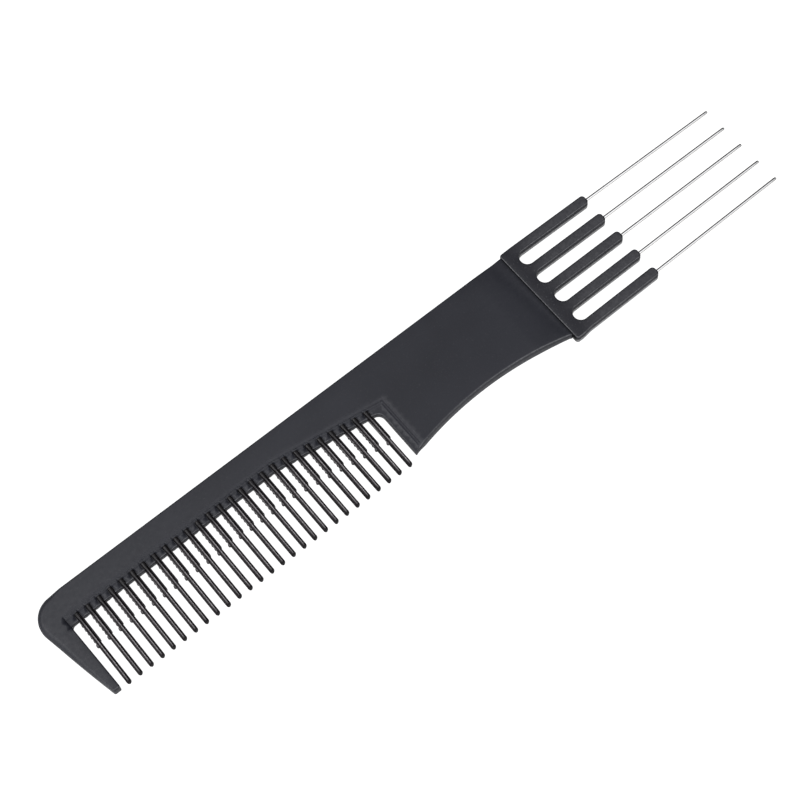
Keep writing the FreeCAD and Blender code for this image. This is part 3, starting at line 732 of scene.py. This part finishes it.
# %% Fork outline
FINGER_COUNT = 5
FAN = math.radians(0.32)
SLOT_X = COLLAR_X + 3.27
FINGER_PITCH, FINGER_WIDTH, FINGER_SHIFT = 6.54, 2.66, 0.155
FINGER_REACH = FINGER_END_X - SLOT_X
COLLAR_TOP_Y, COLLAR_LOW_Y = 14.49, -14.55
HOLDER_HALF = 1.4
HOLDER_EDGE = 0.32
COLLAR_RADIUS, COLLAR_EDGE = 0.8, 0.3
FINGER_END_RADIUS = 0.95
SLOT_ROUND = 0.96            # of a half circle at each slot's end
FINGER_CROWN = 0.07          # a finger's face is this much higher along its middle


def finger_turn(index):
    """How far a finger leans: the middle one is straight."""
    return (index - (FINGER_COUNT - 1) / 2) * FAN


def finger_place(index, along, across):
    """Place on a finger, along its axis from the slot bottoms and across it."""
    turn = finger_turn(index)
    level = FINGER_SHIFT + ((FINGER_COUNT - 1) / 2 - index) * FINGER_PITCH
    return (SLOT_X + along * math.cos(turn) - across * math.sin(turn),
            level + along * math.sin(turn) + across * math.cos(turn))


def fork_corners():
    """Round the collar's end, then out and back along each finger in turn."""
    half = FINGER_WIDTH / 2
    slot_radius = SLOT_ROUND * (FINGER_PITCH - FINGER_WIDTH) / 2
    last = FINGER_COUNT - 1
    corners = [(COLLAR_X, COLLAR_TOP_Y, COLLAR_RADIUS, COLLAR_EDGE),
               (COLLAR_X, COLLAR_LOW_Y, COLLAR_RADIUS, COLLAR_EDGE),
               (COLLAR_X + 2, COLLAR_LOW_Y, 0, HOLDER_EDGE),
               (*finger_place(last, 1.3, -half), 0, HOLDER_EDGE)]
    for index in reversed(range(FINGER_COUNT)):
        corners += [(*finger_place(index, FINGER_REACH, side), FINGER_END_RADIUS, HOLDER_EDGE)
                    for side in (-half, half)]
        if index:
            corners += [(*finger_place(index, 0, half), slot_radius, HOLDER_EDGE),
                        (*finger_place(index - 1, 0, -half), slot_radius, HOLDER_EDGE)]
    return corners + [(*finger_place(0, 0, half), 0, HOLDER_EDGE)]


# %% [markdown]
# The fingers are slightly crowned, and their faces are painted lighter than the collar's, a painted
# sheen. A fine ridge runs round the holder where the two halves of its mould met, and the joint
# with the grip is painted in shade.

# %% Holder plate
PARTING_RIDGE = 0.03


def holder_height(places):
    """Half thickness of the holder, crowned along each finger."""
    rise = np.clip(distance_to(FORK_OUTLINE, places) / (FINGER_WIDTH / 2), 0, 1)
    return HOLDER_HALF - FINGER_CROWN * (1 - rise) ** 2


def finger_sheen(places):
    """The fingers' faces are painted lighter and made glossier than the collar's: a painted sheen.
    """
    return np.interp(places[:, 0], [SLOT_X - 1, SLOT_X + 6], [0, 0.3])


def holder_painted_shade(places):
    """Painted shade at the joint with the grip."""
    return np.interp(places[:, 0] - COLLAR_X, [0.02, 0.15], [1, 0])


FORK_OUTLINE, fork_softness = rounded_outline(fork_corners(), spacing=0.7)
finger_rows = [np.array([finger_place(index, along, across)
                         for along in np.arange(0, FINGER_REACH - 0.9, 0.7)])
               for index in range(FINGER_COUNT) for across in (-0.4, 0, 0.4)]
# Painted highlight: the holder's walls and parting ridge that face the light are painted lighter.
holder = plate_mesh("pick_fork", FORK_OUTLINE, fork_softness, holder_height, extra=finger_rows,
                    spacing=0.9, seam=PARTING_RIDGE, rubbed_and_lit=finger_sheen, painted_shade=holder_painted_shade,
                    wall_highlight=1.0)

# %% [markdown]
# ## Steel pins
#
# Each pin is a piece of drawn wire, straight, with a polished round end. A cylinder would have a
# flat end, so the profile is spun: rings along the pin's own axis that close over the tip. It
# starts a little way inside its finger.

# %% Spin the pins
PIN_RADIUS = 0.48
PIN_SIDES = 32
PIN_LENGTH = PIN_END_X - FINGER_END_X
PIN_ROOT = 2.0               # length hidden in the finger
TIP_ANGLES = (15, 30, 45, 60, 75, 86)


def pin(index):
    """One pin on its finger's axis, from inside the finger to its rounded tip."""
    turn = finger_turn(index)
    along = Vector((math.cos(turn), math.sin(turn), 0))
    side = Vector((-math.sin(turn), math.cos(turn), 0))
    start = Vector((*finger_place(index, FINGER_REACH, 0), 0))
    straight = np.linspace(0, PIN_LENGTH - PIN_RADIUS, 20)
    stations = [(-PIN_ROOT, 1)] + [(length, 1) for length in straight]
    stations += [(PIN_LENGTH - PIN_RADIUS * (1 - math.sin(angle)), math.cos(angle))
                 for angle in np.radians(TIP_ANGLES)]
    spokes = [side * math.cos(angle) + Vector((0, 0, math.sin(angle)))
              for angle in np.arange(PIN_SIDES) * 2 * math.pi / PIN_SIDES]
    rings = [np.array([start + along * length + spoke * PIN_RADIUS * share for spoke in spokes])
             for length, share in reversed(stations)]
    places, faces = loft(rings)
    return make_object(f"lifting_pin_{index + 1}", places, faces, nowhere(places))


pins = [pin(index) for index in range(FINGER_COUNT)]

# %% [markdown]
# ## Moulded plastic
#
# The plastic is a dark, slightly bluish charcoal with a fine matte grain from the mould. Its tone
# drifts a little from place to place, and the grain breaks up the gloss. Edges are lighter and
# smoother, partly from rubbing and partly as painted highlight where they face the light. Side
# walls leave the mould duller than faces, and the tight hollows are painted darker as shade.
# Wear, painted highlight and painted shade come from the attributes stored while the meshes were
# laid up, so they follow the real edges.

# %% Node helpers
def add_node(tree, kind, **values):
    """New node. Each value sets a property of that name, or else the input of that name."""
    node = tree.nodes.new(kind)
    for name, value in values.items():
        if hasattr(node, name):
            setattr(node, name, value)
        else:
            node.inputs[name].default_value = value
    return node


def noise(tree, place, scale, detail=3.0, rough=0.55):
    """Cloudy values from 0 to 1, about `scale` patches to the metre."""
    node = add_node(tree, "ShaderNodeTexNoise", Scale=scale, Detail=detail, Roughness=rough)
    tree.links.new(place, node.inputs["Vector"])
    return node.outputs["Fac"]


def ramp(tree, value, low, high, to_low, to_high):
    """Straight line from to_low at `low` to to_high at `high`, flat outside."""
    node = add_node(tree, "ShaderNodeMapRange", clamp=True)
    inputs = {"From Min": low, "From Max": high, "To Min": to_low, "To Max": to_high}
    for name, number in inputs.items():
        node.inputs[name].default_value = number
    tree.links.new(value, node.inputs["Value"])
    return node.outputs["Result"]


COLOUR_A, COLOUR_B, COLOUR_OUT = 6, 7, 2   # a mix node's colour sockets, among those it hides


def blend_colours(tree, share, first, second):
    """Mixes two colours, each fixed or from another node. A share of 1 gives the second."""
    node = add_node(tree, "ShaderNodeMix", data_type="RGBA")
    tree.links.new(share, node.inputs["Factor"])
    for socket, colour in ((node.inputs[COLOUR_A], first), (node.inputs[COLOUR_B], second)):
        if isinstance(colour, tuple):
            socket.default_value = (*colour, 1)
        else:
            tree.links.new(colour, socket)
    return node.outputs[COLOUR_OUT]


def combine(tree, operation, first, second):
    """One sum on two values, each fixed or from another node."""
    node = add_node(tree, "ShaderNodeMath", operation=operation)
    for socket, value in ((node.inputs[0], first), (node.inputs[1], second)):
        if isinstance(value, (int, float)):
            socket.default_value = value
        else:
            tree.links.new(value, socket)
    return node.outputs[0]


# %% [markdown]
# The tone is built up in layers: slow drift, then fine speckle, then wear with painted highlight,
# then the painted shade of the hollows. Roughness and shine follow the same wear, and a bump gives
# the mould's grain.

# %% Moulded plastic material
FACE_SHINE = 0.3
# Colour of the painted shade in the tight hollows and at the joints.
SHADE_COLOUR = (0.001, 0.001, 0.0012)
GRAIN_DEPTH = 0.00002        # metres


def moulded_plastic(name, dark, light, rubbed_and_lit, roughness, grain, wall_shine, level_from):
    """Matte moulded plastic: `dark` and `light` drift, and the lighter colour shows on scuffed
    edges and as painted highlight on edges and walls that face the light. Surfaces that lean less
    than
    `level_from` have only the shine of a side wall."""
    material = bpy.data.materials.new(name)
    material.use_nodes = True
    tree = material.node_tree
    shader = tree.nodes["Principled BSDF"]
    place = add_node(tree, "ShaderNodeTexCoord").outputs["Object"]
    drift = noise(tree, place, 55, detail=4)
    speckle = noise(tree, place, 2600, detail=2)
    tone = blend_colours(tree, ramp(tree, drift, 0.35, 0.65, 0, 1), dark, light)
    tone = blend_colours(tree, ramp(tree, speckle, 0.62, 0.78, 0, 0.35), tone, rubbed_and_lit)
    # Rubbing and painted highlight: the marked edges, walls and finger faces are painted lighter.
    worn_and_lit = add_node(tree, "ShaderNodeAttribute", attribute_name="worn_and_lit").outputs["Fac"]
    patches = ramp(tree, noise(tree, place, 1500, detail=4), 0.35, 0.65, 0.5, 1)
    wear_and_sheen = combine(tree, "MULTIPLY", worn_and_lit, patches)
    tone = blend_colours(tree, combine(tree, "MULTIPLY", wear_and_sheen, 0.55), tone, rubbed_and_lit)
    # Painted shade: the hollows and joints are painted darker and lose most of their shine.
    painted_shade = add_node(tree, "ShaderNodeAttribute", attribute_name="painted_shade").outputs["Fac"]
    tone = blend_colours(tree, combine(tree, "MULTIPLY", painted_shade, 0.85), tone, SHADE_COLOUR)
    tree.links.new(tone, shader.inputs["Base Color"])
    rough = ramp(tree, noise(tree, place, 900, detail=3), 0.3, 0.7,
                 roughness - 0.05, roughness + 0.05)
    tree.links.new(combine(tree, "SUBTRACT", rough, combine(tree, "MULTIPLY", wear_and_sheen, 0.15)),
                   shader.inputs["Roughness"])
    facing = add_node(tree, "ShaderNodeSeparateXYZ")
    normal = add_node(tree, "ShaderNodeNewGeometry").outputs["Normal"]
    tree.links.new(normal, facing.inputs["Vector"])
    level = combine(tree, "ABSOLUTE", facing.outputs["Z"], 0)
    shine = ramp(tree, level, level_from, 0.9, wall_shine, FACE_SHINE)
    shine = combine(tree, "ADD", shine, combine(tree, "MULTIPLY", wear_and_sheen, 0.6))
    shine = combine(tree, "MULTIPLY", shine, ramp(tree, painted_shade, 0, 1, 1, 0.1))
    tree.links.new(shine, shader.inputs["Specular IOR Level"])
    bump = add_node(tree, "ShaderNodeBump", Strength=grain, Distance=GRAIN_DEPTH)
    tree.links.new(noise(tree, place, 1800, detail=4, rough=0.6), bump.inputs["Height"])
    tree.links.new(bump.outputs["Normal"], shader.inputs["Normal"])
    return material


# Each rubbed colour is partly wear and partly painted highlight on edges that face the light.
body_plastic = moulded_plastic(
    "charcoal_body", dark=(0.0092, 0.0096, 0.0135), light=(0.0122, 0.0127, 0.0172),
    rubbed_and_lit=(0.04, 0.04, 0.043), roughness=0.5, grain=0.5, wall_shine=0.07, level_from=0.2)
# The teeth are the body's own plastic in a darker copy, painted shade on their thin flanks; its
# pale rubbed colour paints the ridge highlight over a little wear.
shaded_tooth_plastic = moulded_plastic(
    "charcoal_teeth_shaded", dark=(0.005, 0.0043, 0.005), light=(0.008, 0.007, 0.008),
    rubbed_and_lit=(0.14, 0.122, 0.128), roughness=0.42, grain=0.35, wall_shine=0.015, level_from=0.6)
holder_plastic = moulded_plastic(
    "charcoal_holder", dark=(0.0085, 0.0086, 0.0118), light=(0.0115, 0.0115, 0.0148),
    rubbed_and_lit=(0.13, 0.128, 0.132), roughness=0.46, grain=0.6, wall_shine=0.04, level_from=0.3)
print("plastics:", body_plastic.name, shaded_tooth_plastic.name, holder_plastic.name)

# %% [markdown]
# ## Drawn steel
#
# The wire was pulled through a die, which leaves hair-fine lines along it, then polished. Noise
# stretched along the pin gives the lines, and duller patches of noise lie here and there along it.

# %% Drawn steel material
LINE_STRETCH = (0.03, 1, 1)  # squeezing the first axis draws the noise out along the comb
DULL_STEEL = (0.58, 0.58, 0.57)


def drawn_steel(name):
    """Polished metal with fine lines along the pin and duller patches."""
    material = bpy.data.materials.new(name)
    material.use_nodes = True
    tree = material.node_tree
    shader = tree.nodes["Principled BSDF"]
    shader.inputs["Metallic"].default_value = 1.0
    place = add_node(tree, "ShaderNodeTexCoord").outputs["Object"]
    stretch = add_node(tree, "ShaderNodeMapping", Scale=LINE_STRETCH)
    tree.links.new(place, stretch.inputs["Vector"])
    lines = noise(tree, stretch.outputs["Vector"], 9000, detail=2)
    smear = noise(tree, place, 260, detail=3)
    tone = blend_colours(tree, ramp(tree, lines, 0.3, 0.7, 0, 1),
                         (0.85, 0.84, 0.82), (0.92, 0.91, 0.89))
    tone = blend_colours(tree, ramp(tree, smear, 0.55, 0.75, 0, 0.3), tone, DULL_STEEL)
    tree.links.new(tone, shader.inputs["Base Color"])
    tree.links.new(ramp(tree, smear, 0.35, 0.7, 0.1, 0.18), shader.inputs["Roughness"])
    bump = add_node(tree, "ShaderNodeBump", Strength=0.25, Distance=GRAIN_DEPTH / 2)
    tree.links.new(lines, bump.inputs["Height"])
    tree.links.new(bump.outputs["Normal"], shader.inputs["Normal"])
    return material


pin_steel = drawn_steel("drawn_steel")

# %% [markdown]
# ## Tie the pieces to the frame
#
# Each piece rides on the frame's one body and takes over from the node it details.

# %% Dress and fit the pieces
def fit(piece, material, slot, *nodes):
    """Dress a piece, tie it to the frame, and say which nodes it takes over from."""
    piece.data.materials.append(material)
    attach(piece, "root")
    if nodes:
        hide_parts(*nodes)


fit(comb_plate, body_plastic, "body_plastic", "comb_body")
fit(teeth, shaded_tooth_plastic, "body_plastic")
fit(blades, shaded_tooth_plastic, "body_plastic")
fit(holder, holder_plastic, "holder_plastic", "pick_holder")
for number, piece in enumerate(pins, start=1):
    fit(piece, pin_steel, "pin_steel", f"pick_pin_{number}")
print(f"{len(pins) + 4} pieces fitted")

# %% [markdown]
# ## Floor, light and camera
#
# The comb lies on a pale floor that glows a little, so it looks white and the outline stands
# clear. The floor belongs to the stage and not to the comb.

# %% Floor
FLOOR_REACH = 3.0
FLOOR_LEVEL = -0.0003        # just under the comb, in metres


def make_floor():
    """Sheet of paper that glows white."""
    mesh = bpy.data.meshes.new("floor")
    corners = [(x * FLOOR_REACH, y * FLOOR_REACH, FLOOR_LEVEL)
               for x, y in ((-1, -1), (1, -1), (1, 1), (-1, 1))]
    mesh.from_pydata(corners, [], [(0, 1, 2, 3)])
    floor = bpy.data.objects.new("floor", mesh)
    bpy.context.scene.collection.objects.link(floor)
    paper = bpy.data.materials.new("white_paper")
    paper.use_nodes = True
    shader = paper.node_tree.nodes["Principled BSDF"]
    shader.inputs["Base Color"].default_value = (0.15, 0.15, 0.15, 1)
    shader.inputs["Roughness"].default_value = 1.0
    shader.inputs["Emission Color"].default_value = (1, 1, 1, 1)
    shader.inputs["Emission Strength"].default_value = 1.0
    mesh.materials.append(paper)
    print(f"floor: {2 * FLOOR_REACH:.0f} m square")


make_floor()

# %% [markdown]
# Three soft boxes shape the comb: a large one overhead evens out the faces, one lower down beyond
# the teeth picks out the edges, and a weak one brightens the head. Soft boxes give wide, gentle
# highlights, where a small lamp would give a hard spot on every grain of the plastic.

# %% Lights
def soft_light(name, place, aim, size, power):
    """Square soft box at `place`, turned to `aim`, in metres and watts."""
    lamp = bpy.data.lights.new(name, "AREA")
    lamp.shape = "SQUARE"
    lamp.size = size
    lamp.energy = power
    box = bpy.data.objects.new(name, lamp)
    box.location = place
    box.rotation_mode = "QUATERNION"
    box.rotation_quaternion = (Vector(aim) - Vector(place)).to_track_quat("-Z", "Y")
    bpy.context.scene.collection.objects.link(box)
    print(f"{name}: {power} W from {size} m square")


soft_light("overhead", place=(-0.3, 0.45, 1.0), aim=(-0.05, 0, 0), size=0.4, power=4.7)
soft_light("tooth_side", place=(0.1, -0.7, 0.65), aim=(0, 0, 0), size=0.45, power=1.5)
soft_light("head_side", place=(-0.5, 0.35, 0.8), aim=(-0.09, 0, 0), size=0.3, power=0.6)

# %% [markdown]
# An even sky would light every wall alike. This one is bright on the side of the head and the
# tooth tips and dark behind the back, which gives the plastic its sheen and draws a dark line
# along each pin.

# %% Sky
SKY_BRIGHT = (-0.45, -0.4, 0.8)         # the sky is brightest this way
SKY_DARK_UP_TO, SKY_STRENGTH = 0.33, 2.35

world = bpy.data.worlds.new("sky")
world.use_nodes = True
sky = world.node_tree
toward = add_node(sky, "ShaderNodeVectorMath", operation="DOT_PRODUCT")
sky.links.new(add_node(sky, "ShaderNodeTexCoord").outputs["Generated"], toward.inputs[0])
toward.inputs[1].default_value = SKY_BRIGHT
background = sky.nodes["Background"]
background.inputs["Color"].default_value = (0.97, 0.98, 1.02, 1)
sky.links.new(ramp(sky, toward.outputs["Value"], SKY_DARK_UP_TO, 1, 0.0, SKY_STRENGTH),
              background.inputs["Strength"])
bpy.context.scene.world = world
bpy.context.scene.view_settings.view_transform = "Standard"

# %% [markdown]
# The camera looks down steeply along the comb from beyond its teeth. A long lens keeps the near
# end and the far end at much the same scale.

# %% Camera
CAMERA_PLACE = Vector((-0.11675, -0.18025, 0.46520))
CAMERA_RIGHT = Vector((0.77804686, -0.62570829, -0.05596626))
CAMERA_UP = Vector((0.58843704, 0.6946995, 0.413684))
LENS = 98.0

camera_data = bpy.data.cameras.new("camera")
camera_data.lens = LENS
camera = bpy.data.objects.new("camera", camera_data)
turned = Matrix((CAMERA_RIGHT, CAMERA_UP, CAMERA_RIGHT.cross(CAMERA_UP))).transposed()
camera.matrix_world = Matrix.Translation(CAMERA_PLACE) @ turned.to_4x4()
bpy.context.scene.collection.objects.link(camera)
bpy.context.scene.camera = camera
print("camera at", tuple(round(value, 3) for value in CAMERA_PLACE))
